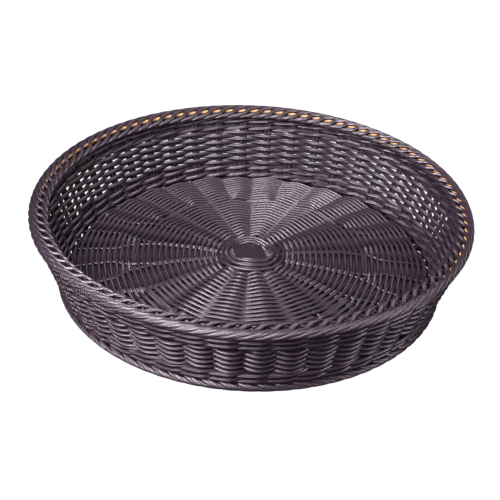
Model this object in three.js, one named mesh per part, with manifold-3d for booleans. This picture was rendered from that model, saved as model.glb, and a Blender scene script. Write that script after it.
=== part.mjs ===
// Round bread basket woven from plastic cane. A domed base, woven round a cross of spokes, lies on a
// rolled foot. Flat stakes lean outwards from the foot to the rim, and strands are woven round them.
// The rim is a border rolled round a hoop of natural cane. Millimetres, +Z up, origin on the floor
// under the middle of the base.
import * as THREE from "three";
import { mergeVertices } from "three/addons/utils/BufferGeometryUtils.js";
import Module from "manifold-3d";

// Overall sizes
const HEIGHT = 79;
const RIM_RADIUS = 200; // outermost edge of the rim
const FOOT_RADIUS = 178; // outermost edge of the foot
const CLEARANCE = 0.3; // between pieces that bear on each other
const RING_STEPS = 48; // flat faces round the rim, the foot, the hoop and the base

// Plastic cane
const STRAND_HEIGHT = 2.7; // a woven strand, measured up the side
const STRAND_THICKNESS = 2.7; // and through the side
const ROW_GAP = 0.35; // between one row of strands and the next

// Side stakes, each a flat group of strands
const STAKE_PAIRS = 23;
const STAKE_WIDTH = 8;
const STAKE_THICKNESS = 2.6;
const STAKE_INSET = 8; // from the outside of the foot to the middle of a stake's lower end

// Side weave
const BOTTOM_WALE_ROWS = 4;
const TOP_WALE_ROWS = 3;
const WALE_REPEAT = 3; // stakes in one repeat of a wale: in front of all but one
const CHASING_STRANDS = 2;

// Foot border
const FOOT_HEIGHT = 11.5;
const FOOT_WIDTH = 18;
const FOOT_LEDGE = 5.2; // height of the ledge that carries the base
const FOOT_ROUNDING = 4; // corner between the floor face and the outside
const SEAT_MARGIN = 2.2; // foot left inside the stakes, round the edge of the base

// Rim border and its hoop
const RIM_WIDTH = 19;
const HOOP_THICKNESS = 4;
const HOOP_SIDES = 6;
const HOOP_WINDOW = 2.4; // width of the opening that shows the hoop along the top

// Base
const BASE_RISE = 12.5; // the middle stands this much higher than the edge
const EYE_RADIUS = 27; // where the weave starts, round the cross
const SPOKES_PER_END = 4;
const SPOKE_WIDTH = 6;
const SPOKE_THICKNESS = 2.6;
const SPLIT_RADIUS = 107; // where each spoke divides in two
const SPLIT_LENGTH = 22; // radial distance over which the halves spread apart
const LEVEL_RADIUS = 52; // from here outwards both sets of spokes lie at one level
const CROSS_WIDTH = 28; // the bundle in the middle, across its strands
const CROSS_REACH = 12; // and from the middle to where its strands fan out
const DOME_STATIONS = 4; // straight stretches along the dome, from the eye to the edge

// Colours of the plastic cane and of the natural cane
const CANE_COLOUR = 0x4d4149;
const CANE_DARK_COLOUR = 0x40353d;
const CANE_LIGHT_COLOUR = 0x5d515a;
const HOOP_COLOUR = 0xd19a5e;

// Sizes that follow
const STAKES = 2 * STAKE_PAIRS;
const STAKE_STEP = (2 * Math.PI) / STAKES;
const ROW_PITCH = STRAND_HEIGHT + ROW_GAP;
const HOOP_BORE_RADIUS = HOOP_THICKNESS / 2 + CLEARANCE;
const RIM_HEIGHT = 2 * (HOOP_BORE_RADIUS + STRAND_THICKNESS);
const RIM_MIDDLE_RADIUS = RIM_RADIUS - RIM_WIDTH / 2;
const RIM_MIDDLE_HEIGHT = HEIGHT - RIM_HEIGHT / 2;
const FOOT_INNER_RADIUS = FOOT_RADIUS - FOOT_WIDTH;
const STAKE_FOOT_RADIUS = FOOT_RADIUS - STAKE_INSET; // circle on which the stakes stand
const STAKE_BOTTOM = FOOT_HEIGHT + CLEARANCE;
const STAKE_TOP = HEIGHT - RIM_HEIGHT - CLEARANCE;
const LEAN = Math.atan2(RIM_MIDDLE_RADIUS - STAKE_FOOT_RADIUS, STAKE_TOP - STAKE_BOTTOM);
const BASE_THICKNESS = SPOKE_THICKNESS + 2 * (STRAND_THICKNESS + CLEARANCE);
const SHOULDER_RADIUS = STAKE_FOOT_RADIUS - STAKE_THICKNESS / 2 - SEAT_MARGIN;
const BASE_RADIUS = SHOULDER_RADIUS - CLEARANCE;
const BASE_EDGE_BOTTOM = FOOT_LEDGE + CLEARANCE;
const BASE_EDGE_TOP = BASE_EDGE_BOTTOM + BASE_THICKNESS;
const SPOKE_SPACING = Math.PI / 2 / SPOKES_PER_END;
const SPOKE_END_RADIUS = BASE_RADIUS * Math.cos(Math.PI / RING_STEPS); // the middle of a flat face

const wasm = await Module();
wasm.setup();

// Solids: a closed geometry as a solid that can be joined and cut, and back again
function solidOf(geometry) {
  const bare = geometry.clone();
  bare.deleteAttribute("normal");
  bare.deleteAttribute("uv");
  const merged = mergeVertices(bare, 1e-4);
  return new wasm.Manifold(
    new wasm.Mesh({
      numProp: 3,
      vertProperties: merged.attributes.position.array,
      triVerts: new Uint32Array(merged.index.array),
    }),
  );
}

function geometryOf(solid) {
  const mesh = solid.getMesh();
  const geometry = new THREE.BufferGeometry();
  geometry.setAttribute("position", new THREE.BufferAttribute(mesh.vertProperties, 3));
  geometry.setIndex(new THREE.BufferAttribute(mesh.triVerts, 1));
  geometry.computeVertexNormals();
  return geometry;
}

// A closed bar through rings of corners. The corners turn anticlockwise seen from the bar's far end.
function barGeometry(rings) {
  const sides = rings[0].length;
  const last = (rings.length - 1) * sides;
  const index = [];
  for (let start = 0; start < last; start += sides) {
    for (let corner = 0; corner < sides; corner++) {
      const a = start + corner;
      const b = start + ((corner + 1) % sides);
      index.push(a, b, b + sides, a, b + sides, a + sides);
    }
  }
  for (let corner = 1; corner + 1 < sides; corner++) {
    index.push(0, corner + 1, corner);
    index.push(last, last + corner, last + corner + 1);
  }
  const geometry = new THREE.BufferGeometry().setFromPoints(rings.flat());
  geometry.setIndex(index);
  geometry.computeVertexNormals();
  return geometry;
}

// A ring made by turning a closed profile of (radius, height) points round the Z axis.
function ringGeometry(profile) {
  const closed = [...profile, profile[0]];
  const geometry = new THREE.LatheGeometry(closed, RING_STEPS);
  return geometry.rotateX(Math.PI / 2);
}

// The point at an angle round the basket, a radius and a height.
function around(angle, radius, height) {
  return new THREE.Vector3(radius * Math.cos(angle), radius * Math.sin(angle), height);
}

// The side leans along one straight line. A place on it is a distance up the line, and an offset
// square to the side, outwards.
function sidePoint(angle, up, offset) {
  const radius = STAKE_FOOT_RADIUS + up * Math.sin(LEAN) + offset * Math.cos(LEAN);
  const height = STAKE_BOTTOM + up * Math.cos(LEAN) - offset * Math.sin(LEAN);
  return around(angle, radius, height);
}

// Side stakes
function stakeGeometry(angle) {
  const halfDepth = STAKE_THICKNESS / 2 / Math.cos(LEAN);
  const sideways = around(angle + Math.PI / 2, STAKE_WIDTH / 2, 0);
  const ring = (radius, height) => {
    const inside = around(angle, radius - halfDepth, height);
    const outside = around(angle, radius + halfDepth, height);
    return [
      inside.clone().sub(sideways),
      outside.clone().sub(sideways),
      outside.clone().add(sideways),
      inside.clone().add(sideways),
    ];
  };
  return barGeometry([
    ring(STAKE_FOOT_RADIUS, STAKE_BOTTOM),
    ring(RIM_MIDDLE_RADIUS, STAKE_TOP),
  ]);
}

// How far a strand's middle passes outside and inside a stake, so that it clears the stake's edges
// where it slants across to the other side at the next stake.
function passingOffsets(up) {
  const radius = STAKE_FOOT_RADIUS + up * Math.sin(LEAN);
  const reach = (STAKE_THICKNESS + STRAND_THICKNESS) / 2 + CLEARANCE;
  const share = STAKE_WIDTH / 2 / (radius * Math.sin(STAKE_STEP));
  const turn = Math.cos(STAKE_STEP);
  const sum = (2 * reach) / (1 - share - share * turn);
  const difference = (2 * radius * share * (1 - turn)) / (1 - share + share * turn);
  return { outside: (sum + difference) / 2, inside: (sum - difference) / 2 };
}

// A strand woven round the stakes while it climbs. goesInside says behind which stakes it passes.
function wovenStrand(firstStake, steps, startUp, rowsPerTurn, goesInside) {
  const rings = [];
  for (let step = 0; step <= steps; step++) {
    const stake = firstStake + step;
    const angle = stake * STAKE_STEP;
    const up = startUp + (step / STAKES) * rowsPerTurn * ROW_PITCH;
    const offsets = passingOffsets(up);
    const offset = goesInside(stake) ? -offsets.inside : offsets.outside;
    const low = up - STRAND_HEIGHT / 2;
    const high = up + STRAND_HEIGHT / 2;
    const near = offset - STRAND_THICKNESS / 2;
    const far = offset + STRAND_THICKNESS / 2;
    rings.push([
      sidePoint(angle, low, near),
      sidePoint(angle, high, near),
      sidePoint(angle, high, far),
      sidePoint(angle, low, far),
    ]);
  }
  return barGeometry(rings);
}

// The lowest and the highest row of the side, clear of the foot, the base and the rim.
function rowLimits() {
  const { outside, inside } = passingOffsets(0);
  const slope = Math.abs(Math.sin(LEAN));
  const corner = (STRAND_HEIGHT * Math.cos(LEAN) + STRAND_THICKNESS * slope) / 2;
  const overFoot = FOOT_HEIGHT + CLEARANCE + Math.max(outside, inside) * slope + corner;
  const overBase = BASE_EDGE_TOP + CLEARANCE - inside * Math.sin(LEAN) + corner;
  const underRim = STAKE_TOP - Math.max(outside, inside) * slope - corner;
  const upOf = (height) => (height - STAKE_BOTTOM) / Math.cos(LEAN);
  return { lowest: upOf(Math.max(overFoot, overBase)), highest: upOf(underRim) };
}

const rows = rowLimits();
const bottomWaleEnd = rows.lowest + BOTTOM_WALE_ROWS * ROW_PITCH;
const topWaleStart = rows.highest - TOP_WALE_ROWS * ROW_PITCH;
const weaveStart = bottomWaleEnd + ROW_PITCH;
const weaveTurns = (topWaleStart - ROW_PITCH - weaveStart) / (CHASING_STRANDS * ROW_PITCH);

function waleGeometry(startUp, turns) {
  return wovenStrand(0, turns * STAKES, startUp, 1, (stake) => stake % WALE_REPEAT === 0);
}

function sideWeaverGeometry(strand) {
  const firstStake = Math.round((strand * STAKES) / CHASING_STRANDS);
  const lateStart = firstStake / STAKES - strand / CHASING_STRANDS;
  const startUp = weaveStart + lateStart * CHASING_STRANDS * ROW_PITCH;
  const steps = Math.floor(weaveTurns * STAKES);
  const goesInside = (stake) => (stake - firstStake) % 2 === (firstStake + strand) % 2;
  return wovenStrand(firstStake, steps, startUp, CHASING_STRANDS, goesInside);
}

// Rim: the hoop, and the border round it with a window along the top
function hoopGeometry() {
  const ring = new THREE.TorusGeometry(
    RIM_MIDDLE_RADIUS,
    HOOP_THICKNESS / 2,
    HOOP_SIDES,
    RING_STEPS,
  );
  return ring.translate(0, 0, RIM_MIDDLE_HEIGHT);
}

// Points round an ellipse from one edge of the window, under the middle, to the other edge, with a
// point at each quarter turn.
function windowedArc(halfWidth, halfHeight, stretchesPerQuarter) {
  const edge = Math.asin(HOOP_WINDOW / 2 / halfWidth);
  const quarters = [edge, Math.PI / 2, Math.PI, 1.5 * Math.PI, 2 * Math.PI - edge];
  const points = [];
  const addPoint = (angle) => {
    const radius = RIM_MIDDLE_RADIUS + halfWidth * Math.sin(angle);
    const height = RIM_MIDDLE_HEIGHT + halfHeight * Math.cos(angle);
    points.push(new THREE.Vector2(radius, height));
  };
  for (let quarter = 0; quarter < 4; quarter++) {
    for (let i = 0; i < stretchesPerQuarter; i++) {
      const share = i / stretchesPerQuarter;
      addPoint(THREE.MathUtils.lerp(quarters[quarter], quarters[quarter + 1], share));
    }
  }
  addPoint(quarters[4]);
  return points;
}

function rimBorderGeometry() {
  const boreStretches = 2;
  const outside = windowedArc(RIM_WIDTH / 2, RIM_HEIGHT / 2, 3);
  // The bore's corners lie outside its round, so that its flats clear the hoop.
  const boreReach = HOOP_BORE_RADIUS / Math.cos(Math.PI / 4 / boreStretches);
  const bore = windowedArc(boreReach, boreReach, boreStretches).reverse();
  return ringGeometry([...outside, ...bore].reverse());
}

// Foot: a flat face on the floor, a rounded outside, a seat for the stakes and a ledge for the base
function footGeometry() {
  const roundingSteps = 3;
  const profile = [new THREE.Vector2(FOOT_INNER_RADIUS, 0)];
  for (let i = 0; i <= roundingSteps; i++) {
    const angle = (Math.PI / 2) * (i / roundingSteps);
    const radius = FOOT_RADIUS - FOOT_ROUNDING * (1 - Math.sin(angle));
    profile.push(new THREE.Vector2(radius, FOOT_ROUNDING * (1 - Math.cos(angle))));
  }
  const seatEdge = STAKE_FOOT_RADIUS + STAKE_THICKNESS / 2 + SEAT_MARGIN;
  profile.push(new THREE.Vector2(FOOT_RADIUS, FOOT_LEDGE + CLEARANCE));
  profile.push(new THREE.Vector2(seatEdge, FOOT_HEIGHT));
  profile.push(new THREE.Vector2(SHOULDER_RADIUS, FOOT_HEIGHT));
  profile.push(new THREE.Vector2(SHOULDER_RADIUS, FOOT_LEDGE));
  profile.push(new THREE.Vector2(FOOT_INNER_RADIUS, FOOT_LEDGE));
  return ringGeometry(profile);
}

// Base: the dome's middle height at a radius, the spokes along it, and the weave round the spokes
function domeHeight(radius) {
  const edge = (BASE_EDGE_BOTTOM + BASE_EDGE_TOP) / 2;
  return edge + BASE_RISE * (1 - (radius / BASE_RADIUS) ** 2);
}

// The bundles cross one over the other, and their spokes come to one level further out.
function spokeHeight(radius, level) {
  const apart = (SPOKE_THICKNESS + CLEARANCE) / 2;
  const share = (LEVEL_RADIUS - radius) / (LEVEL_RADIUS - EYE_RADIUS);
  return domeHeight(radius) + level * apart * THREE.MathUtils.clamp(share, 0, 1);
}

// A flat bar along the dome through places of (radius, angle), grown by a margin on every side.
function spokeBar(places, level, margin) {
  const points = places.map(([radius, angle]) => around(angle, radius, spokeHeight(radius, level)));
  const halfUp = SPOKE_THICKNESS / 2 + margin;
  const rings = points.map((point, i) => {
    const before = points[Math.max(i - 1, 0)];
    const after = points[Math.min(i + 1, points.length - 1)];
    const along = after.clone().sub(before).setZ(0).normalize();
    const left = new THREE.Vector3(-along.y, along.x, 0).multiplyScalar(SPOKE_WIDTH / 2 + margin);
    const corner = (side, up) =>
      point.clone().addScaledVector(left, side).add(new THREE.Vector3(0, 0, up));
    return [corner(-1, -halfUp), corner(1, -halfUp), corner(1, halfUp), corner(-1, halfUp)];
  });
  return solidOf(barGeometry(rings));
}

// One spoke with its two halves, out to a radius.
function spokeSolid(angle, level, margin, endRadius) {
  const innerRadius = CROSS_REACH / 2;
  const spread = SPLIT_RADIUS + SPLIT_LENGTH;
  const half = SPOKE_SPACING / 4;
  const stem = [innerRadius, EYE_RADIUS, LEVEL_RADIUS, SPLIT_RADIUS].map((radius) => [radius, angle]);
  let solid = spokeBar(stem, level, margin);
  for (const side of [-1, 1]) {
    const places = [
      [SPLIT_RADIUS - SPOKE_WIDTH / 2, angle],
      [spread, angle + side * half],
      [endRadius, angle + side * half],
    ];
    solid = solid.add(spokeBar(places, level, margin));
  }
  return solid;
}

// The angles of one bundle's spokes, which fan out over a quarter turn at each of its ends.
function spokeAngles(direction) {
  const angles = [];
  for (const end of [0, Math.PI]) {
    for (let i = 0; i < SPOKES_PER_END; i++) {
      angles.push(direction + end + (i - (SPOKES_PER_END - 1) / 2) * SPOKE_SPACING);
    }
  }
  return angles;
}

function crossGeometry(direction, level) {
  const plate = new THREE.BoxGeometry(2 * CROSS_REACH, CROSS_WIDTH, SPOKE_THICKNESS);
  plate.rotateZ(direction);
  plate.translate(0, 0, spokeHeight(0, level));
  let solid = solidOf(plate);
  for (const angle of spokeAngles(direction)) {
    solid = solid.add(spokeSolid(angle, level, 0, SPOKE_END_RADIUS));
  }
  return geometryOf(solid);
}

function baseWeaveGeometry() {
  const stations = [];
  for (let i = 0; i <= DOME_STATIONS; i++) {
    stations.push(EYE_RADIUS + ((BASE_RADIUS - EYE_RADIUS) * i) / DOME_STATIONS);
  }
  const surface = (radius, up) => new THREE.Vector2(radius, domeHeight(radius) + up);
  const under = stations.map((radius) => surface(radius, -BASE_THICKNESS / 2));
  const over = stations.map((radius) => surface(radius, BASE_THICKNESS / 2)).reverse();
  let solid = solidOf(ringGeometry([...under, ...over]));
  for (const [direction, level] of [[Math.PI / 2, 1], [0, -1]]) {
    for (const angle of spokeAngles(direction)) {
      solid = solid.subtract(spokeSolid(angle, level, CLEARANCE, BASE_RADIUS + SEAT_MARGIN));
    }
  }
  return geometryOf(solid);
}

// The basket
const basket = new THREE.Group();

function addPiece(name, geometry, color, roughness) {
  const material = new THREE.MeshStandardMaterial({ color, roughness, metalness: 0 });
  const piece = new THREE.Mesh(geometry, material);
  piece.name = name;
  basket.add(piece);
}

addPiece("foot_border", footGeometry(), CANE_COLOUR, 0.5);
addPiece("base_cross_crosswise", crossGeometry(0, -1), CANE_DARK_COLOUR, 0.5);
addPiece("base_cross_lengthwise", crossGeometry(Math.PI / 2, 1), CANE_LIGHT_COLOUR, 0.5);
addPiece("base_weave", baseWeaveGeometry(), CANE_COLOUR, 0.5);
for (let stake = 0; stake < STAKES; stake++) {
  const number = String(stake + 1).padStart(2, "0");
  addPiece(`side_stake_${number}`, stakeGeometry(stake * STAKE_STEP), CANE_DARK_COLOUR, 0.5);
}
addPiece("bottom_wale", waleGeometry(rows.lowest, BOTTOM_WALE_ROWS), CANE_COLOUR, 0.5);
addPiece("side_weaver_a", sideWeaverGeometry(0), CANE_COLOUR, 0.5);
addPiece("side_weaver_b", sideWeaverGeometry(1), CANE_COLOUR, 0.5);
addPiece("top_wale", waleGeometry(topWaleStart, TOP_WALE_ROWS), CANE_COLOUR, 0.5);
addPiece("rim_core_hoop", hoopGeometry(), HOOP_COLOUR, 0.6);
addPiece("rim_border", rimBorderGeometry(), CANE_LIGHT_COLOUR, 0.45);

export default basket;
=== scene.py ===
"""A round bread basket of dark plastic cane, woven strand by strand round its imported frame.

The frame's solids give each piece its place. Here every piece is made again as the strands that it is
woven from: the base with its cross and spokes, the foot, the side and the rim with its cane hoop.
Sizes of the basket are in millimetres and turned into metres when a piece is made. The studio is in metres.
"""

import math

import bpy
import numpy as np
from mathutils import Matrix, Vector


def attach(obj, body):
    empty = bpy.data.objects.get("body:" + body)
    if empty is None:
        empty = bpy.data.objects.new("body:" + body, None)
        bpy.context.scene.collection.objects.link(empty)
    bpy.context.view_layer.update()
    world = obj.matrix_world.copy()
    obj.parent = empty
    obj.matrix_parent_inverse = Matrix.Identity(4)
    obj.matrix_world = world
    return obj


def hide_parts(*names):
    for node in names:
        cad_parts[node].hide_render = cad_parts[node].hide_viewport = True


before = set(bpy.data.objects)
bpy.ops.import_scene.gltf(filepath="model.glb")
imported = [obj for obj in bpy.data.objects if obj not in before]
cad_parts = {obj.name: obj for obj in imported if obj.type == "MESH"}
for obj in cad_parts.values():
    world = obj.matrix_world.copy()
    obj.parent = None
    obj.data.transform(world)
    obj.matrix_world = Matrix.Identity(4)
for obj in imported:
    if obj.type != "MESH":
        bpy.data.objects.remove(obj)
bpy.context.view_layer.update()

MM = 0.001
TAU = 2 * math.pi
rng = np.random.default_rng(7)

# Strand: an oval cane with fine ribs along it
SECTION_SIDES = 12
RIBS = 8  # fine ribs round a strand
SAMPLE = 2.4  # distance between rings of a long strand
WANDER_WAVES = (3, 5, 8, 13)  # waves in one turn of the slow drift that hand weaving has
STRIP_MARGIN = 0.04  # share of a strip of the bake map that stays free on each side
STRIP_SPAN = 1 - 2 * STRIP_MARGIN
LAY_SPREAD = 1000.0  # strands start up to this far apart in the grain, so that no two look alike

# Side
STAKES = 46
STAKE_STEP = TAU / STAKES
STAKE_FOOT_RADIUS = 170.0
STAKE_FOOT_HEIGHT = 11.8
STAKE_TOP_RADIUS = 190.5
STAKE_TOP_HEIGHT = 68.7
LEAN = math.atan2(STAKE_TOP_RADIUS - STAKE_FOOT_RADIUS, STAKE_TOP_HEIGHT - STAKE_FOOT_HEIGHT)
SIDE_LENGTH = (STAKE_TOP_HEIGHT - STAKE_FOOT_HEIGHT) / math.cos(LEAN)
STAKE_BELOW = 3.0  # a stake's strands start this far below its foot
STAKE_ABOVE = 2.5  # and end this far above its top
STAKE_POINTS = 16
STAKE_STRAND_GAP = 4.0  # between the middles of the two strands towards the bowl
STAKE_TAPER = 0.15  # share of that gap that is lost on the way up
STAKE_STRAND_THICKNESS = 2.4
# A stake's strands towards the bowl and behind: their places in half gaps, their depth and their width
STAKE_ROWS = (((-1, 1), -0.6, 2.1), ((-1.4, 0, 1.4), 1.2, 2.8))

# Wales, at the foot and at the top of the side
WALE_ROUNDS = 2
WALE_STRANDS = 3
WALE_WIDTHS = (3.4, 5.3)  # inside and outside the stakes
WALE_SWING = 3.6  # how far a strand stands off the middle of the side
WALE_LIFT = 1.8
# Over one repeat of three stakes a wale strand lies inside at 0, and outside at 1 and 2
WALE_PHASES = np.array([0, 0.5, 1, 1.5, 2, 2.5, 3])
WALE_OFFSETS = np.array([-1, -0.1, 0.6, 0.95, 1.25, 0.3, -1])
WALE_LIFTS = np.array([0, -1, -0.8, 0, 0.8, 1, 0])
WALE_RADIUS = 180.0  # about the middle of the strand, to count its rings
WALE_STRIPS = 12  # of the bake map, for each strand
BOTTOM_WALE_ROUND = 7.2  # height that one round takes
TOP_WALE_ROUND = 7.1
BOTTOM_WALE_START = -2.4  # up the side, from the foot of the stakes
TOP_WALE_START = SIDE_LENGTH - WALE_ROUNDS * TOP_WALE_ROUND

# Weave of the side, between the wales
SIDE_CREST_WIDTH = 3.85  # where a strand passes a stake
SIDE_CROSSING_WIDTH = 3.65  # where it goes through between two stakes
SIDE_THICKNESS = 3.9
SIDE_SWING = 3.6
SIDE_WANDER = 0.2
WEAVE_START = BOTTOM_WALE_START + WALE_ROUNDS * BOTTOM_WALE_ROUND
WEAVE_ROWS = 10
ROW_PITCH = (TOP_WALE_START - WEAVE_START) / WEAVE_ROWS
WEAVER_RADIUS = 182.0
WEAVER_STRIPS = 24
WEAVE_STEP = 2.5 / STAKES  # share of a turn in which a weaver climbs to its next row
WALE_STEP = 1.6 / STAKES
# Shares of such a step by which a strand starts before its first round and stops before its last one ends
WEAVER_LEADS = (0.8, 0.5)
WEAVER_CUTS = (0.5, 0.2)
WALE_LEAD = 0.9
WALE_CUT = 0.2

# Base
BASE_RADIUS = 166.2
BASE_EDGE_HEIGHT = 9.8
BASE_RISE = 12.5
BASE_ROW_PITCH = 2.75
BASE_GROWTH = 2 * BASE_ROW_PITCH / TAU  # radius that a weaver gains in one radian
BASE_FIRST_RADIUS = 29.0
BASE_LAST_RADIUS = 164.6
BASE_CREST_WIDTH = 3.0  # where a weaver passes a spoke
BASE_CROSSING_WIDTH = 2.62  # where it squeezes past its neighbours
BASE_THICKNESS = 2.9
BASE_SWING = 2.6
BASE_SHARPNESS = 0.93  # one makes the weavers run straight up and down between spokes
BASE_WANDER = 0.15
BASE_STRIPS = 36
TIGHTNESS = 0.5  # nought makes the weavers run in circles, one makes them run straight from spoke to spoke
TIGHTEN_LENGTH = 8.0  # outwards from the eye, until the weavers are that tight

# Cross and spokes
SPOKES = 16
SPOKE_STEP = TAU / SPOKES
FIRST_SPOKE = SPOKE_STEP / 2
SPOKE_GROUPS = (3, 2, 2, 3)  # strands in each spoke at one end of a bundle
SPOKE_STRAND_PITCH = 2.6
SPOKE_STRAND_WIDTH = 2.7
SPOKE_STRAND_THICKNESS = 2.6
SPOKE_END = 163.0
SPOKE_POINTS = 66
SPLIT_START = 90.0  # from here a spoke's halves draw apart
SPLIT_RADIUS = 107.0  # from here the weavers pass between them
SPLIT_LENGTH = 22.0
SPLIT_SPREAD = SPOKE_STEP / 4  # from a spoke's middle to each of its halves
SPLIT_FIRST = 0.3  # share of that spread where the weavers start to pass between them
CROSS_STRANDS = sum(SPOKE_GROUPS)
CROSS_PITCH = 2.8
CROSS_REACH = 11.0
CROSS_POINTS = 6
CROSS_TO_SPOKE = 3.0  # from the cross's last point to the spoke's first
CROSS_OVERLAP = 2.5  # past the middle, where an end dips into the strand that comes the other way
CROSS_DIP = 0.8
CROSS_LEVEL = 1.4  # each bundle of the cross lies this far above or below the middle of the base
CROSS_TWIST = math.radians(15)  # the upper bundle lies askew
FAN_RADIUS = 44.0  # from here outwards each spoke runs straight out
LEVEL_RADIUS = 52.0  # from here outwards both bundles lie at the same level

# Eye: the first turns of the base's weavers round the cross
EYE_TURNS = 3
EYE_POINTS = 225
EYE_HALF_SIZE = np.array([16.5, 11.5])  # to the side and to the front
EYE_SECOND = np.array([1.5, 4.0])  # how much more the second weaver has
EYE_SHIFT = 5.0  # towards the rear
EYE_STRAND_WIDTH = 2.7
EYE_BLEND = 8  # points before and after the end of the eye, in which the lift passes over
CROSS_ARMS = 4
# Lift of each weaver in its first turns at the right, rear, left and front arm of the cross
EYE_LIFTS = np.array([[-3.6, 3.8, -3.6, 3.8, -3.6], [1.6, -2.6, 1.6, 3.8, 1.6]])

# Foot
FOOT_RADIUS = 176.5
FOOT_INNER_RADIUS = 160.0
FOOT_HEIGHT = 9.4
FOOT_STRANDS = 72
FOOT_STRAND_WIDTH = 4.4
FOOT_STRAND_THICKNESS = 2.9
FOOT_POINTS = 44
# A strand's way round the foot's section, from its end below to its start inside, and along the foot
FOOT_TURN = (-150, -90, 60, 160)  # degrees
FOOT_RUN = (26, 17, 4, 0)  # degrees

# Rim
RIM_RADIUS = 190.5
RIM_HEIGHT = 74.0
RIM_STRANDS = 92
RIM_STRAND_WIDTHS = (4.2, 3.8)  # on the inside and on the outside of the rim
RIM_WIDTHS_OUT = (-4, 2)  # where a strand has these widths, out from the rim's middle
RIM_STRAND_THICKNESS = 3.1
RIM_POINTS = 76
# A border strand's way round the rim's section: up the outside, across the top and down the inside
RIM_OUT = np.array([0.5, 5.0, 8.0, 6.4, 3.6, 0.8, -4.4, -6.2, -7.2, -6.4, -4.0, -1.0])
RIM_UP = np.array([-4.4, -4.2, -0.6, 3.0, 4.2, 3.0, 1.2, 0.4, -1.0, -2.4, -3.4, -3.8])
# Its way along the rim, in degrees
RIM_RUN = np.array([-6.6, -1.5, 3.8, 8.2, 11.6, 14.2, 15.2, 16.8, 18.3, 19.7, 21.7, 24.1])
# The rim is rolled unevenly: towards the front a strand's inner side stands higher and slants more, and its
# top lies lower
RIM_TILT = np.array([0, 0, 0, -0.3, -1.4, -1.9, 2.4, 2.8, 2.6, 1.6, 0.6, 0])
RIM_SLANT = np.array([0, 0, 0, 0, 0, -0.3, 0.6, 0.7, 0.5, 0.3, 0.1, 0])  # degrees
RIM_TILT_MIDDLE = math.radians(-70)
RIM_TILT_FOCUS = 1.5  # a larger number keeps the unevenness closer to its middle
HOOP_RADIUS = 192.9
HOOP_HEIGHT = 74.0
HOOP_THICKNESS = 3.6
HOOP_WANDER = 0.15
HOOP_POINTS = 360
HOOP_STRIPS = 12

# Curves through a few values
PERIODIC_STEPS = 600
PERIODIC_ROUNDING = 80  # of these steps
EASED_STEPS = 100  # from one value to the next
EASED_ROUNDING = 90

# Plastic cane
PLASTIC_IOR = 1.6
PLASTIC_GLOSS_TINT = (1.0, 0.875, 0.965, 1)
PLASTIC_DARK = (0.25, (0.0052, 0.0020, 0.0046, 1))  # place in the mixture of tones and of the ribs' painted light and shade, and colour
PLASTIC_LIGHT = (0.9, (0.0220, 0.0090, 0.0195, 1))
PLASTIC_ROUGHNESS = (0.36, 0.52)
GRAIN_RANGE = (0.3, 0.7)
# Noise on the strands: scale along a strand, scale round it and detail
STREAKS = (0.03, 2.4, 4.0)
PATCHES = (0.02, 0.3, 2.0)
GRAIN = (0.5, 2.0, 3.0)

# Natural cane
FIBRE_SCALE = 160.0
FIBRE_DETAIL = 6.0
FIBRE_RELIEF = 0.2
FIBRE_DARK = (0.3, (0.48, 0.24, 0.11, 1))
FIBRE_LIGHT = (0.7, (0.74, 0.43, 0.23, 1))
FIBRE_ROUGHNESS = 0.5

RELIEF_DISTANCE = 0.0004  # metres, for the fine relief of both materials

# Studio
WHITE = (1, 1, 1)
FLOOR_REACH = 40.0
FLOOR_GREY = 0.06  # the floor shines by itself and reflects little
FLOOR_ROUGHNESS = 0.9
FLOOR_PAINTED_SHADOW_RADIUS = 0.167  # under the basket it doesn't shine: a painted shadow
FLOOR_LIGHT_RADIUS = 0.171
WORLD_STRENGTH = 0.01
LIGHT_TARGET = (0, 0, 0.03)
HIGH_LIGHT_SIZE = 0.9
LOW_LIGHT_SIZE = 0.18
LOW_LIGHT_COLOUR = (1.0, 0.92, 0.99)
# Name, place, size, power and colour
LIGHTS = (
    ("key", (-0.86, -1.03, 1.34), HIGH_LIGHT_SIZE, 64, WHITE),
    ("top", (-0.45, -0.21, 1.84), HIGH_LIGHT_SIZE, 36, WHITE),
    ("side", (1.42, -0.82, 0.95), HIGH_LIGHT_SIZE, 6, WHITE),
    ("back", (1.15, 0.42, 1.46), HIGH_LIGHT_SIZE, 9, WHITE),
    ("low_left", (-0.87, -0.23, 0.06), LOW_LIGHT_SIZE, 2.4, LOW_LIGHT_COLOUR),
    ("low_front", (-0.35, -0.83, 0.12), LOW_LIGHT_SIZE, 2, LOW_LIGHT_COLOUR),
    ("low_right", (0.8, -0.4, 0.1), LOW_LIGHT_SIZE, 1.9, LOW_LIGHT_COLOUR),
)
CAMERA_DISTANCE = 1.199
CAMERA_ELEVATION = math.radians(33.72)
CAMERA_LOOK_DOWN = math.radians(32.61)
CAMERA_ROLL = math.radians(2.65)
CAMERA_NEAR = 0.05
SENSOR_WIDTH = 36  # millimetres
FOCAL_LENGTH = 1283.6  # pixels of the image
IMAGE_WIDTH = 500  # pixels

# Curves


def unit(vectors):
    """Each vector at length one."""
    return vectors / np.linalg.norm(vectors, axis=-1, keepdims=True)


def around(angle, radius, height):
    """Points at these angles, radii and heights round the basket's axis."""
    shape = np.broadcast(angle, radius, height).shape
    points = np.empty(shape + (3,))
    points[..., 0] = radius * np.cos(angle)
    points[..., 1] = radius * np.sin(angle)
    points[..., 2] = height
    return points


def smooth_step(share):
    """A share from nought to one, with a soft start and a soft end."""
    return share * share * (3 - 2 * share)


def smooth_triangle(wave, sharpness):
    """A cosine wave pulled towards straight stretches with rounded tips."""
    return np.arcsin(sharpness * wave) / math.asin(sharpness)


def round_off(padded, reach):
    """A padded line with rounded corners, without its padding."""
    window = np.hanning(reach + 1)
    return np.convolve(padded, window / window.sum(), "same")[reach:-reach]


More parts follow.
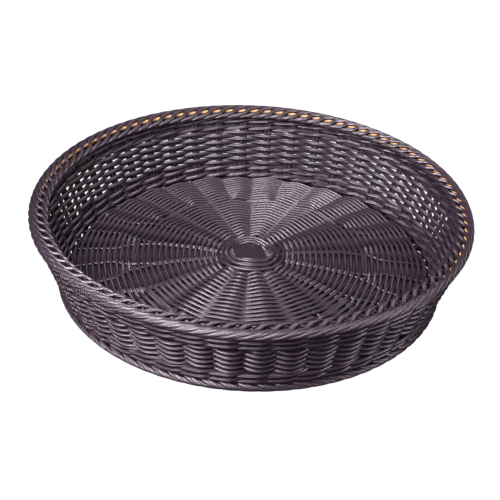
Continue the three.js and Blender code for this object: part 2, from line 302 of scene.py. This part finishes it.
def periodic(phases, values, at):
    """A smooth curve through these values that repeats with the last phase."""
    reach = PERIODIC_ROUNDING
    period = phases[-1]
    fine = np.linspace(0, period, PERIODIC_STEPS + 1)
    line = np.interp(fine, phases, values)
    padded = np.concatenate([line[-reach - 1 : -1], line, line[1 : reach + 1]])
    return np.interp(np.mod(at, period), fine, round_off(padded, reach))


def eased(values, at):
    """A line through evenly spaced values, with rounded corners."""
    reach = EASED_ROUNDING
    last = len(values) - 1
    fine = np.linspace(0, last, EASED_STEPS * last + 1)
    line = np.interp(fine, np.arange(len(values)), values)
    before = 2 * line[0] - line[reach:0:-1]
    after = 2 * line[-1] - line[-2 : -reach - 2 : -1]
    padded = np.concatenate([before, line, after])
    return np.interp(at, fine, round_off(padded, reach))


def wander(angle, size):
    """A slow irregular drift along a strand, as hand weaving has."""
    phases = rng.random(len(WANDER_WAVES)) * TAU
    total = sum(np.sin(wave * angle + phase) / wave**0.5 for wave, phase in zip(WANDER_WAVES, phases))
    return size * total / len(WANDER_WAVES) ** 0.5


# Strands


def section(width, thickness):
    """A strand's oval outline: offsets across it and outwards, for each ring."""
    turn = np.arange(SECTION_SIDES) * TAU / SECTION_SIDES
    across = np.outer(width / 2, np.sin(turn))
    out = np.outer(thickness / 2, np.cos(turn))
    return across, out


def strand(path, outward, width, thickness, closed=False, strips=1):
    """One strand along a path: the rings of its skin, and how it unwraps."""
    count = len(path)
    if closed:
        tangent = unit(np.roll(path, -1, axis=0) - np.roll(path, 1, axis=0))
    else:
        tangent = unit(np.gradient(path, axis=0))
    outward = np.broadcast_to(outward, path.shape)
    outward = unit(outward - np.sum(outward * tangent, axis=1, keepdims=True) * tangent)
    sideways = np.cross(outward, tangent)
    width = np.broadcast_to(np.asarray(width, float), (count,))
    thickness = np.broadcast_to(np.asarray(thickness, float), (count,))
    across, out = section(width, thickness)
    rings = path[:, None, :] + across[:, :, None] * sideways[:, None, :]
    rings = rings + out[:, :, None] * outward[:, None, :]
    along = np.concatenate([[0.0], np.cumsum(np.linalg.norm(np.diff(path, axis=0), axis=1))])
    return {"rings": rings, "closed": closed, "strips": strips, "along": along}


def strand_faces(rings, closed):
    """Quads of a strand's skin, as numbers of its points, and their places along and around."""
    count, sides = rings.shape[:2]
    along, side = np.meshgrid(np.arange(count if closed else count - 1), np.arange(sides), indexing="ij")
    along = along.ravel()
    side = side.ravel()
    ahead = (along + 1) % count
    beside = (side + 1) % sides
    corners = [
        along * sides + side,
        along * sides + beside,
        ahead * sides + beside,
        ahead * sides + side,
    ]
    quads = np.stack(corners, 1)
    places = np.stack([along, along, along + 1, along + 1], 1)
    turns = np.stack([side, side + 1, side + 1, side], 1)
    return quads, places, turns


def strand_lay(along, sides):
    """Where each corner lies on its strand: millimetres along it, and its turn as a cosine and a sine."""
    turn = np.arange(sides) * TAU / sides
    lay = np.empty((len(along), sides, 3))
    lay[:, :, 0] = along[:, None]
    lay[:, :, 1] = np.cos(turn)
    lay[:, :, 2] = np.sin(turn)
    return lay.reshape(-1, 3)


def map_height(strip, turn, sides, all_strips):
    """Height in the bake map of a corner that is so many sides round its strand."""
    return (strip + STRIP_MARGIN + STRIP_SPAN * turn / sides) / all_strips


def skin_map(places, turns, sides, strips, strip, all_strips):
    """Where a strand's quads lie in the bake map: in strips of equal length, one above the other."""
    per_strip = math.ceil(len(places) / sides / strips)
    which = places[:, :1] // per_strip
    u = (places - which * per_strip) / per_strip
    v = map_height(strip + which, turns, sides, all_strips)
    return np.stack([u, v], -1).reshape(-1, 2)


def end_caps(count, sides, strip, all_strips):
    """The faces at both ends of a strand, as numbers of its points, and where they lie in the bake map."""
    caps = []
    maps = []
    for ring, u_end, order in ((0, 0.0, -1), (count - 1, 1.0, 1)):
        corner = np.arange(sides)[::order]
        v_end = map_height(strip, corner, sides, all_strips)
        caps.append(ring * sides + corner)
        maps.append(np.stack([np.full(sides, u_end), v_end], -1))
    return caps, maps


def join_strands(strands):
    """The points and faces of all the strands, with a strip or more in the bake map and a tone for each."""
    names = ("points", "tones", "lays", "quads", "quad_maps", "caps", "cap_maps")
    joined = {name: [] for name in names}
    start = 0
    strip = 0
    all_strips = sum(piece["strips"] for piece in strands)
    for piece in strands:
        rings = piece["rings"]
        count, sides = rings.shape[:2]
        quads, places, turns = strand_faces(rings, piece["closed"])
        joined["points"].append(rings.reshape(-1, 3) * MM)
        joined["tones"].append(np.full(count * sides, rng.random()))
        joined["lays"].append(strand_lay(piece["along"] + LAY_SPREAD * rng.random(), sides))
        joined["quads"].append(quads + start)
        joined["quad_maps"].append(skin_map(places, turns, sides, piece["strips"], strip, all_strips))
        if not piece["closed"]:
            caps, cap_maps = end_caps(count, sides, strip, all_strips)
            joined["caps"] += [cap + start for cap in caps]
            joined["cap_maps"] += cap_maps
        start += count * sides
        strip += piece["strips"]
    return joined


def build_mesh(name, strands):
    """One mesh of all the strands."""
    joined = join_strands(strands)
    points = np.concatenate(joined["points"])
    quads = np.concatenate(joined["quads"])
    caps = joined["caps"]
    loops = np.concatenate([quads.ravel()] + caps)
    sizes = np.array([quads.shape[1]] * len(quads) + [len(cap) for cap in caps])
    starts = np.cumsum(sizes) - sizes
    smooth = np.arange(len(sizes)) < len(quads)
    uvs = np.concatenate(joined["quad_maps"] + joined["cap_maps"])

    mesh = bpy.data.meshes.new(name)
    mesh.vertices.add(len(points))
    mesh.vertices.foreach_set("co", points.astype(np.float32).ravel())
    mesh.loops.add(len(loops))
    mesh.loops.foreach_set("vertex_index", loops.astype(np.int32))
    mesh.polygons.add(len(starts))
    mesh.polygons.foreach_set("loop_start", starts.astype(np.int32))
    mesh.polygons.foreach_set("use_smooth", smooth)
    mesh.update(calc_edges=True)
    mesh.uv_layers.new(name="OFBake").data.foreach_set("uv", uvs.astype(np.float32).ravel())
    tone = mesh.attributes.new("tone", "FLOAT", "POINT")
    tone.data.foreach_set("value", np.concatenate(joined["tones"]).astype(np.float32))
    lay = mesh.attributes.new("lay", "FLOAT_VECTOR", "POINT")
    lay.data.foreach_set("vector", np.concatenate(joined["lays"]).astype(np.float32).ravel())
    mesh.validate()
    return mesh


def add_piece(name, strands, material, nodes):
    """A piece of the basket, made of strands, in the place of these nodes of the frame."""
    piece = bpy.data.objects.new(name, build_mesh(name, strands))
    piece.data.materials.append(material)
    bpy.context.scene.collection.objects.link(piece)
    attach(piece, "root")
    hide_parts(*nodes)


# Materials


def new_material(name):
    """A material with its shader, its nodes and its links."""
    material = bpy.data.materials.new(name)
    material.use_nodes = True
    nodes = material.node_tree.nodes
    return material, nodes["Principled BSDF"], nodes, material.node_tree.links


def add_strand_noise(nodes, links, along, round_about, detail):
    """Noise that follows each strand, scaled along it and round it."""
    lay = nodes.new("ShaderNodeAttribute")
    lay.attribute_name = "lay"
    scaled = nodes.new("ShaderNodeMapping")
    scaled.inputs["Scale"].default_value = (along, round_about, round_about)
    links.new(lay.outputs["Vector"], scaled.inputs["Vector"])
    noise = nodes.new("ShaderNodeTexNoise")
    noise.inputs["Scale"].default_value = 1.0
    noise.inputs["Detail"].default_value = detail
    links.new(scaled.outputs["Vector"], noise.inputs["Vector"])
    return noise.outputs["Fac"]


def add_sum(nodes, links, parts):
    """A weighted sum of several values."""
    total = None
    for value, weight in parts:
        step = nodes.new("ShaderNodeMath")
        step.operation = "MULTIPLY_ADD"
        links.new(value, step.inputs[0])
        step.inputs[1].default_value = weight
        step.inputs[2].default_value = 0.0
        if total is not None:
            links.new(total, step.inputs[2])
        total = step.outputs[0]
    return total


def add_range(nodes, links, value, source, target):
    """A value carried over from one range to another."""
    mapped = nodes.new("ShaderNodeMapRange")
    mapped.inputs["From Min"].default_value = source[0]
    mapped.inputs["From Max"].default_value = source[1]
    mapped.inputs["To Min"].default_value = target[0]
    mapped.inputs["To Max"].default_value = target[1]
    links.new(value, mapped.inputs["Value"])
    return mapped.outputs["Result"]


def add_colours(nodes, links, value, dark, light):
    """A colour between a dark and a light one, each with its place in the value's range."""
    colours = nodes.new("ShaderNodeValToRGB")
    for stop, (position, colour) in zip(colours.color_ramp.elements, (dark, light)):
        stop.position = position
        stop.color = colour
    links.new(value, colours.inputs["Fac"])
    return colours.outputs["Color"]


def add_relief(nodes, links, height, strength):
    """A fine relief of this height."""
    bump = nodes.new("ShaderNodeBump")
    bump.inputs["Strength"].default_value = strength
    bump.inputs["Distance"].default_value = RELIEF_DISTANCE
    links.new(height, bump.inputs["Height"])
    return bump.outputs["Normal"]


def strand_ribs(nodes, links):
    """The ribs along each strand: one on a rib and nought in a groove."""
    lay = nodes.new("ShaderNodeAttribute")
    lay.attribute_name = "lay"
    parts = nodes.new("ShaderNodeSeparateXYZ")
    links.new(lay.outputs["Vector"], parts.inputs[0])
    turn = nodes.new("ShaderNodeMath")
    turn.operation = "ARCTAN2"
    links.new(parts.outputs["Z"], turn.inputs[0])
    links.new(parts.outputs["Y"], turn.inputs[1])
    turns = nodes.new("ShaderNodeMath")
    turns.operation = "MULTIPLY"
    links.new(turn.outputs[0], turns.inputs[0])
    turns.inputs[1].default_value = RIBS
    wave = nodes.new("ShaderNodeMath")
    wave.operation = "COSINE"
    links.new(turns.outputs[0], wave.inputs[0])
    return add_range(nodes, links, wave.outputs[0], (-1, 1), (0, 1))


def plastic_cane():
    """Dark aubergine polypropylene with a satin sheen, and ribs and fine streaks along each strand; the
    ribs are also painted into its colour as light on each rib and shade in each groove.
    """
    material, shader, nodes, links = new_material("plastic_cane")
    shader.inputs["IOR"].default_value = PLASTIC_IOR
    shader.inputs["Specular IOR Level"].default_value = 1.0
    shader.inputs["Specular Tint"].default_value = PLASTIC_GLOSS_TINT

    tone = nodes.new("ShaderNodeAttribute")
    tone.attribute_name = "tone"
    ribs = strand_ribs(nodes, links)
    streaks = add_strand_noise(nodes, links, *STREAKS)
    patches = add_strand_noise(nodes, links, *PATCHES)
    grain = add_strand_noise(nodes, links, *GRAIN)

    # The ribs in this mixture are painted light and shade: lighter on each rib, darker in each groove.
    tones = [(tone.outputs["Fac"], 0.25), (streaks, 0.4), (patches, 0.25), (ribs, 0.4)]
    colour = add_colours(nodes, links, add_sum(nodes, links, tones), PLASTIC_DARK, PLASTIC_LIGHT)
    links.new(colour, shader.inputs["Base Color"])
    roughness = add_range(nodes, links, grain, GRAIN_RANGE, PLASTIC_ROUGHNESS)
    links.new(roughness, shader.inputs["Roughness"])
    heights = [(ribs, 0.5), (grain, 0.15), (streaks, 0.3)]
    relief = add_relief(nodes, links, add_sum(nodes, links, heights), 1.0)
    links.new(relief, shader.inputs["Normal"])
    return material


def natural_cane():
    """Light rattan with darker fibres."""
    material, shader, nodes, links = new_material("natural_cane")
    fibres = nodes.new("ShaderNodeTexNoise")
    fibres.inputs["Scale"].default_value = FIBRE_SCALE
    fibres.inputs["Detail"].default_value = FIBRE_DETAIL
    colour = add_colours(nodes, links, fibres.outputs["Fac"], FIBRE_DARK, FIBRE_LIGHT)
    links.new(colour, shader.inputs["Base Color"])
    shader.inputs["Roughness"].default_value = FIBRE_ROUGHNESS
    relief = add_relief(nodes, links, fibres.outputs["Fac"], FIBRE_RELIEF)
    links.new(relief, shader.inputs["Normal"])
    return material


# Base


def dome_height(radius):
    """Height of the base's middle at this radius."""
    return BASE_EDGE_HEIGHT + BASE_RISE * (1 - (radius / BASE_RADIUS) ** 2)


def dome_normal(angle, radius):
    """The way that the base's upper side faces."""
    slope = -2 * BASE_RISE * radius / BASE_RADIUS**2
    return unit(around(angle, -slope, np.ones_like(angle)))


def cross_share(radius):
    """One at the cross, and nought from where both of its bundles lie at the same level."""
    return np.clip((LEVEL_RADIUS - radius) / (LEVEL_RADIUS - CROSS_REACH), 0, 1)


def spoke_spread(radius):
    """Angle from a spoke's middle to each of its halves, from the split radius outwards."""
    share = np.clip((radius - SPLIT_RADIUS) / SPLIT_LENGTH, 0, 1)
    return SPLIT_SPREAD * (SPLIT_FIRST + (1 - SPLIT_FIRST) * smooth_step(share))


def weave_phase(angle, radius, divided):
    """How many spokes a weaver has passed, counted in halves where the spokes are divided."""
    turn = (angle - FIRST_SPOKE) / SPOKE_STEP
    spoke = np.round(turn)
    beside = (turn - spoke) * SPOKE_STEP
    spread = spoke_spread(radius)
    between = np.where(
        np.abs(beside) <= spread,
        0.5 + 0.5 * beside / spread,
        0.5 + np.sign(beside) * (0.5 + (np.abs(beside) - spread) / (SPOKE_STEP - 2 * spread)),
    )
    return np.where(divided, 2 * spoke + between + 1, turn)


def chord_sag(angle, radius, divided):
    """How far a weaver, pulled straight from spoke to spoke, lies inside its circle."""
    turn = (angle - FIRST_SPOKE) / SPOKE_STEP
    beside = np.abs(turn - np.round(turn)) * SPOKE_STEP
    spread = np.where(divided, spoke_spread(radius), 0.0)
    half = np.where(beside < spread, spread, SPOKE_STEP / 2 - spread)
    from_middle = np.where(beside < spread, beside, SPOKE_STEP / 2 - beside)
    return radius * (half**2 - from_middle**2) / 2


def eye_turns(which):
    """The first turns of a weaver, an oblong round the cross: its points and how far it is lifted."""
    angle = np.linspace(0, EYE_TURNS * TAU, EYE_POINTS, endpoint=False)
    share = angle[:, None] / (EYE_TURNS * TAU)
    last = BASE_FIRST_RADIUS + which * BASE_ROW_PITCH
    first = EYE_HALF_SIZE + which * EYE_SECOND
    half = first + (last - first) * share
    x = half[:, 0] * np.cos(angle)
    y = half[:, 1] * np.sin(angle) + EYE_SHIFT * (1 - share[:, 0])
    lift = periodic(np.arange(CROSS_ARMS + 1), EYE_LIFTS[which], angle / (TAU / CROSS_ARMS))
    return x, y, lift


def base_spiral(first):
    """Angles and radii along a weaver, evenly spaced along it, from this radius out to the edge."""
    length = (BASE_LAST_RADIUS**2 - first**2) / (2 * BASE_GROWTH)
    travelled = np.linspace(0, length, int(length / SAMPLE))
    angle = (np.sqrt(first**2 + 2 * BASE_GROWTH * travelled) - first) / BASE_GROWTH
    return angle, first + BASE_GROWTH * angle


def division_angle(first):
    """The angle between two spokes from which a weaver goes between the halves of each spoke as well."""
    reach_split = (SPLIT_RADIUS - first) / BASE_GROWTH
    even = 2 * SPOKE_STEP
    return math.ceil((reach_split - SPOKE_STEP) / even) * even + SPOKE_STEP


def base_weaver(which):
    """One of the two strands that chase each other round the base."""
    first = BASE_FIRST_RADIUS + which * BASE_ROW_PITCH
    angle, radius = base_spiral(first)
    divided = angle >= division_angle(first)
    wave = np.cos(math.pi * weave_phase(angle, radius, divided))
    wave = wave * (1 if which == 0 else -1)
    level = CROSS_LEVEL * cross_share(radius)
    lift = BASE_SWING * smooth_triangle(wave, BASE_SHARPNESS) - level * np.cos(2 * angle)
    width = BASE_CROSSING_WIDTH + (BASE_CREST_WIDTH - BASE_CROSSING_WIDTH) * np.abs(wave)
    tightness = TIGHTNESS * np.clip((radius - first) / TIGHTEN_LENGTH, 0, 1)
    radius = radius + wander(angle, BASE_WANDER) - tightness * chord_sag(angle, radius, divided)

    eye_x, eye_y, eye_lift = eye_turns(which)
    x = np.concatenate([eye_x, radius * np.cos(angle)])
    y = np.concatenate([eye_y, radius * np.sin(angle)])
    lift = np.concatenate([eye_lift, lift])
    before = EYE_POINTS - EYE_BLEND
    after = EYE_POINTS + EYE_BLEND
    lift[before:after] = np.linspace(lift[before - 1], lift[after], 2 * EYE_BLEND)
    width = np.concatenate([np.full(EYE_POINTS, EYE_STRAND_WIDTH), width])
    radius = np.hypot(x, y)
    path = np.stack([x, y, dome_height(radius) + lift], 1)
    return strand(path, dome_normal(np.arctan2(y, x), radius), width, BASE_THICKNESS, strips=BASE_STRIPS)


def split_angle(along, half):
    """Angle by which half a spoke has left its spoke's middle, this far out."""
    start_share = np.clip((along - SPLIT_START) / (SPLIT_RADIUS - SPLIT_START), 0, 1)
    starting = SPLIT_FIRST * SPLIT_SPREAD * half * start_share
    return np.where(along > SPLIT_RADIUS, spoke_spread(along) * half, starting)


def spoke_strand(direction, twist, lane, spoke, lane_in_spoke, half, level):
    """A strand of the cross: straight through the middle, then out along its spoke."""
    through = np.linspace(-CROSS_OVERLAP, CROSS_REACH, CROSS_POINTS)
    outwards = np.linspace(CROSS_REACH + CROSS_TO_SPOKE, SPOKE_END, SPOKE_POINTS)
    along = np.concatenate([through, outwards])
    share = smooth_step(np.clip((along - CROSS_REACH) / (FAN_RADIUS - CROSS_REACH), 0, 1))
    angle = spoke + split_angle(along, half)
    straight_x = along * math.cos(twist) - lane * math.sin(twist)
    straight_y = along * math.sin(twist) + lane * math.cos(twist)
    out_x = along * np.cos(angle) - lane_in_spoke * np.sin(angle)
    out_y = along * np.sin(angle) + lane_in_spoke * np.cos(angle)
    x = straight_x + (out_x - straight_x) * share
    y = straight_y + (out_y - straight_y) * share
    radius = np.hypot(x, y)
    lift = level * cross_share(along)
    lift = np.where(along < 0, lift - CROSS_DIP, lift)
    turned_x = x * math.cos(direction) - y * math.sin(direction)
    turned_y = x * math.sin(direction) + y * math.cos(direction)
    path = np.stack([turned_x, turned_y, dome_height(radius) + lift], 1)
    bearing = np.arctan2(turned_y, turned_x)
    return strand(path, dome_normal(bearing, radius), SPOKE_STRAND_WIDTH, SPOKE_STRAND_THICKNESS)


def cross_strands(direction, twist, level):
    """Both ends of one bundle of the cross."""
    strands = []
    for end in (0, math.pi):
        lane_index = 0
        for place, size in enumerate(SPOKE_GROUPS):
            spoke = (place - (len(SPOKE_GROUPS) - 1) / 2) * SPOKE_STEP
            for member in range(size):
                lane = (lane_index - (CROSS_STRANDS - 1) / 2) * CROSS_PITCH
                in_spoke = (member - (size - 1) / 2) * SPOKE_STRAND_PITCH
                half = -1 if member < size / 2 else 1
                strands.append(spoke_strand(direction + end, twist, lane, spoke, in_spoke, half, level))
                lane_index += 1
    return strands


# Side


def side_point(angle, up, offset):
    """A point of the side: up along the slope, and offset square to it."""
    radius = STAKE_FOOT_RADIUS + up * math.sin(LEAN) + offset * math.cos(LEAN)
    height = STAKE_FOOT_HEIGHT + up * math.cos(LEAN) - offset * math.sin(LEAN)
    return around(angle, radius, height)


def side_normal(angle):
    """The way that the side's outside faces."""
    return around(angle, math.cos(LEAN), np.full_like(angle, -math.sin(LEAN)))


def stake_strands(angle):
    """The strands of a stake: two side by side towards the bowl and three behind them."""
    up = np.linspace(-STAKE_BELOW, SIDE_LENGTH + STAKE_ABOVE, STAKE_POINTS)
    half_gap = STAKE_STRAND_GAP * (1 - STAKE_TAPER * np.clip(up / SIDE_LENGTH, 0, 1)) / 2
    radius = STAKE_FOOT_RADIUS + up * math.sin(LEAN)
    strands = []
    for places, depth, width in STAKE_ROWS:
        for place in places:
            turned = angle + place * half_gap / radius
            path = side_point(turned, up, depth)
            strands.append(strand(path, side_normal(turned), width, STAKE_STRAND_THICKNESS))
    return strands


def turn_angles(turns, radius, lead, cut):
    """Angles along a strand of so many rounds, which starts and stops these shares of a turn early."""
    count = int(turns * TAU * radius / SAMPLE)
    return np.linspace(-lead * TAU, (turns - cut) * TAU, count)


def climb(angle, turns, step_length):
    """Rounds climbed so far: level most of the way round, then a step up."""
    turn = angle / TAU
    step = np.clip((np.mod(turn, 1) - 1 + step_length) / step_length, 0, 1)
    climbed = np.floor(turn) + smooth_step(step)
    return np.clip(climbed, 0, turns - 1)


def side_weaver(which):
    """One of the two strands that chase each other up the side, over one stake and behind the next."""
    rows = (WEAVE_ROWS + 1 - which) // 2
    lead = WEAVER_LEADS[which] * WEAVE_STEP
    cut = WEAVER_CUTS[which] * WEAVE_STEP
    angle = turn_angles(rows, WEAVER_RADIUS, lead, cut)
    up = WEAVE_START + ROW_PITCH * (0.5 + which + 2 * climb(angle, rows, WEAVE_STEP))
    wave = np.cos(math.pi * (angle / STAKE_STEP + which))
    width = SIDE_CROSSING_WIDTH + (SIDE_CREST_WIDTH - SIDE_CROSSING_WIDTH) * np.abs(wave)
    path = side_point(angle, up + wander(angle, SIDE_WANDER), SIDE_SWING * wave)
    return strand(path, side_normal(angle), width, SIDE_THICKNESS, strips=WEAVER_STRIPS)


def wale_strands(start, rise):
    """The three strands of a wale, each in front of two stakes and behind one."""
    strands = []
    for which in range(WALE_STRANDS):
        angle = turn_angles(WALE_ROUNDS, WALE_RADIUS, WALE_LEAD * WALE_STEP, WALE_CUT * WALE_STEP)
        phase = angle / STAKE_STEP - which
        out = periodic(WALE_PHASES, WALE_OFFSETS, phase)
        width = np.interp(out, [-1, 1], WALE_WIDTHS)
        lift = WALE_LIFT * periodic(WALE_PHASES, WALE_LIFTS, phase)
        up = start + rise * (0.5 + climb(angle, WALE_ROUNDS, WALE_STEP)) + lift + wander(angle, SIDE_WANDER)
        path = side_point(angle, up, WALE_SWING * out)
        strands.append(strand(path, side_normal(angle), width, SIDE_THICKNESS, strips=WALE_STRIPS))
    return strands


# Foot and rim


def foot_strand(angle):
    """A strand rolled round the foot, from inside over the top, down the outside and under."""
    turn = np.radians(np.linspace(FOOT_TURN[-1], FOOT_TURN[0], FOOT_POINTS))
    run = np.interp(np.degrees(turn), FOOT_TURN, FOOT_RUN)
    swept = angle + np.radians(run)
    middle = (FOOT_RADIUS + FOOT_INNER_RADIUS) / 2
    reach = (FOOT_RADIUS - FOOT_INNER_RADIUS) / 2 - FOOT_STRAND_THICKNESS / 2
    rise = FOOT_HEIGHT / 2 - FOOT_STRAND_THICKNESS / 2
    radius = middle + reach * np.cos(turn)
    height = FOOT_HEIGHT / 2 + rise * np.sin(turn)
    path = around(swept, radius, height)
    outward = around(swept, np.cos(turn) / reach, np.sin(turn) / rise)
    return strand(path, outward, FOOT_STRAND_WIDTH, FOOT_STRAND_THICKNESS)


def rim_strand(angle):
    """A strand of the rolled border."""
    at = np.linspace(0, len(RIM_OUT) - 1, RIM_POINTS)
    out = eased(RIM_OUT, at)
    swept = angle + np.radians(eased(RIM_RUN, at))
    tilt = (0.5 + 0.5 * np.cos(swept - RIM_TILT_MIDDLE)) ** RIM_TILT_FOCUS
    swept = swept + tilt * np.radians(eased(RIM_SLANT, at))
    up = eased(RIM_UP, at) + tilt * eased(RIM_TILT, at)
    path = around(swept, RIM_RADIUS + out, RIM_HEIGHT + up)
    outward = around(swept, np.gradient(up), -np.gradient(out))
    width = np.interp(out, RIM_WIDTHS_OUT, RIM_STRAND_WIDTHS)
    return strand(path, outward, width, RIM_STRAND_THICKNESS)


def hoop_strand():
    """The hoop of natural cane inside the rim."""
    angle = np.arange(HOOP_POINTS) * TAU / HOOP_POINTS
    path = around(angle, HOOP_RADIUS, HOOP_HEIGHT + wander(angle, HOOP_WANDER))
    outward = around(angle, 1.0, 0.0)
    return strand(path, outward, HOOP_THICKNESS, HOOP_THICKNESS, closed=True, strips=HOOP_STRIPS)


# Studio


def floor_material():
    """White that shines by itself, but not under the basket, where its dark is a painted shadow."""
    material, shader, nodes, links = new_material("floor_white")
    shader.inputs["Base Color"].default_value = (FLOOR_GREY, FLOOR_GREY, FLOOR_GREY, 1)
    shader.inputs["Roughness"].default_value = FLOOR_ROUGHNESS
    shader.inputs["Specular IOR Level"].default_value = 0.0
    shader.inputs["Emission Color"].default_value = (*WHITE, 1)
    place = nodes.new("ShaderNodeNewGeometry")
    reach = nodes.new("ShaderNodeVectorMath")
    reach.operation = "LENGTH"
    links.new(place.outputs["Position"], reach.inputs[0])
    glow = add_range(nodes, links, reach.outputs["Value"], (FLOOR_PAINTED_SHADOW_RADIUS, FLOOR_LIGHT_RADIUS), (0, 1))
    links.new(glow, shader.inputs["Emission Strength"])
    return material


def add_floor():
    """A wide floor that throws no light on the basket."""
    mesh = bpy.data.meshes.new("floor")
    far = FLOOR_REACH
    corners = [(-far, -far, 0), (far, -far, 0), (far, far, 0), (-far, far, 0)]
    mesh.from_pydata(corners, [], [(0, 1, 2, 3)])
    mesh.materials.append(floor_material())
    floor = bpy.data.objects.new("floor", mesh)
    floor.visible_diffuse = False
    floor.visible_glossy = False
    bpy.context.scene.collection.objects.link(floor)


def add_area_light(name, place, size, power, colour):
    """A round soft light that faces the basket."""
    light = bpy.data.lights.new(name, "AREA")
    light.shape = "DISK"
    light.size = size
    light.energy = power
    light.color = colour
    lamp = bpy.data.objects.new(name, light)
    lamp.location = place
    lamp.rotation_euler = (Vector(LIGHT_TARGET) - Vector(place)).to_track_quat("-Z", "Y").to_euler()
    bpy.context.scene.collection.objects.link(lamp)


def add_world():
    """A faint even light from all round."""
    world = bpy.data.worlds.new("studio")
    world.use_nodes = True
    background = world.node_tree.nodes["Background"]
    background.inputs["Color"].default_value = (*WHITE, 1)
    background.inputs["Strength"].default_value = WORLD_STRENGTH
    bpy.context.scene.world = world


def add_camera():
    """The photograph's view: from the front, a third of the way up, rolled a little."""
    forward = Vector((0, math.cos(CAMERA_LOOK_DOWN), -math.sin(CAMERA_LOOK_DOWN)))
    level = Vector((1, 0, 0))
    up = level.cross(forward)
    right = math.cos(CAMERA_ROLL) * level + math.sin(CAMERA_ROLL) * up
    up = -math.sin(CAMERA_ROLL) * level + math.cos(CAMERA_ROLL) * up
    camera = bpy.data.cameras.new("camera")
    camera.sensor_width = SENSOR_WIDTH
    camera.lens = SENSOR_WIDTH * FOCAL_LENGTH / IMAGE_WIDTH
    camera.clip_start = CAMERA_NEAR
    view = bpy.data.objects.new("camera", camera)
    turn = Matrix((right, up, -forward)).transposed().to_4x4()
    back = CAMERA_DISTANCE * math.cos(CAMERA_ELEVATION)
    height = CAMERA_DISTANCE * math.sin(CAMERA_ELEVATION)
    view.matrix_world = Matrix.Translation((0, -back, height)) @ turn
    bpy.context.scene.collection.objects.link(view)
    bpy.context.scene.camera = view


# The basket. The order of its pieces is the order of the random draws

plastic = plastic_cane()
cane = natural_cane()

add_piece("base_weaver_a", [base_weaver(0)], plastic, ["base_weave"])
add_piece("base_weaver_b", [base_weaver(1)], plastic, ["base_weave"])

crosswise = cross_strands(0, 0, -CROSS_LEVEL)
lengthwise = cross_strands(math.pi / 2, CROSS_TWIST, CROSS_LEVEL)
add_piece("base_cross_crosswise", crosswise, plastic, ["base_cross_crosswise"])
add_piece("base_cross_lengthwise", lengthwise, plastic, ["base_cross_lengthwise"])

for number in range(STAKES):
    name = f"side_stake_{number + 1:02d}"
    add_piece(name, stake_strands(number * STAKE_STEP), plastic, [name])

add_piece("side_weaver_a", [side_weaver(0)], plastic, ["side_weaver_a"])
add_piece("side_weaver_b", [side_weaver(1)], plastic, ["side_weaver_b"])

bottom_wale = wale_strands(BOTTOM_WALE_START, BOTTOM_WALE_ROUND)
add_piece("bottom_wale", bottom_wale, plastic, ["bottom_wale"])
top_wale = wale_strands(TOP_WALE_START, TOP_WALE_ROUND)
add_piece("top_wale", top_wale, plastic, ["top_wale"])

foot = [foot_strand(number * TAU / FOOT_STRANDS) for number in range(FOOT_STRANDS)]
add_piece("foot_border", foot, plastic, ["foot_border"])

rim = [rim_strand(number * TAU / RIM_STRANDS) for number in range(RIM_STRANDS)]
add_piece("rim_border", rim, plastic, ["rim_border"])
add_piece("rim_core_hoop", [hoop_strand()], cane, ["rim_core_hoop"])

# The studio

add_floor()
for light in LIGHTS:
    add_area_light(*light)
add_world()
add_camera()
bpy.context.scene.view_settings.view_transform = "Standard"
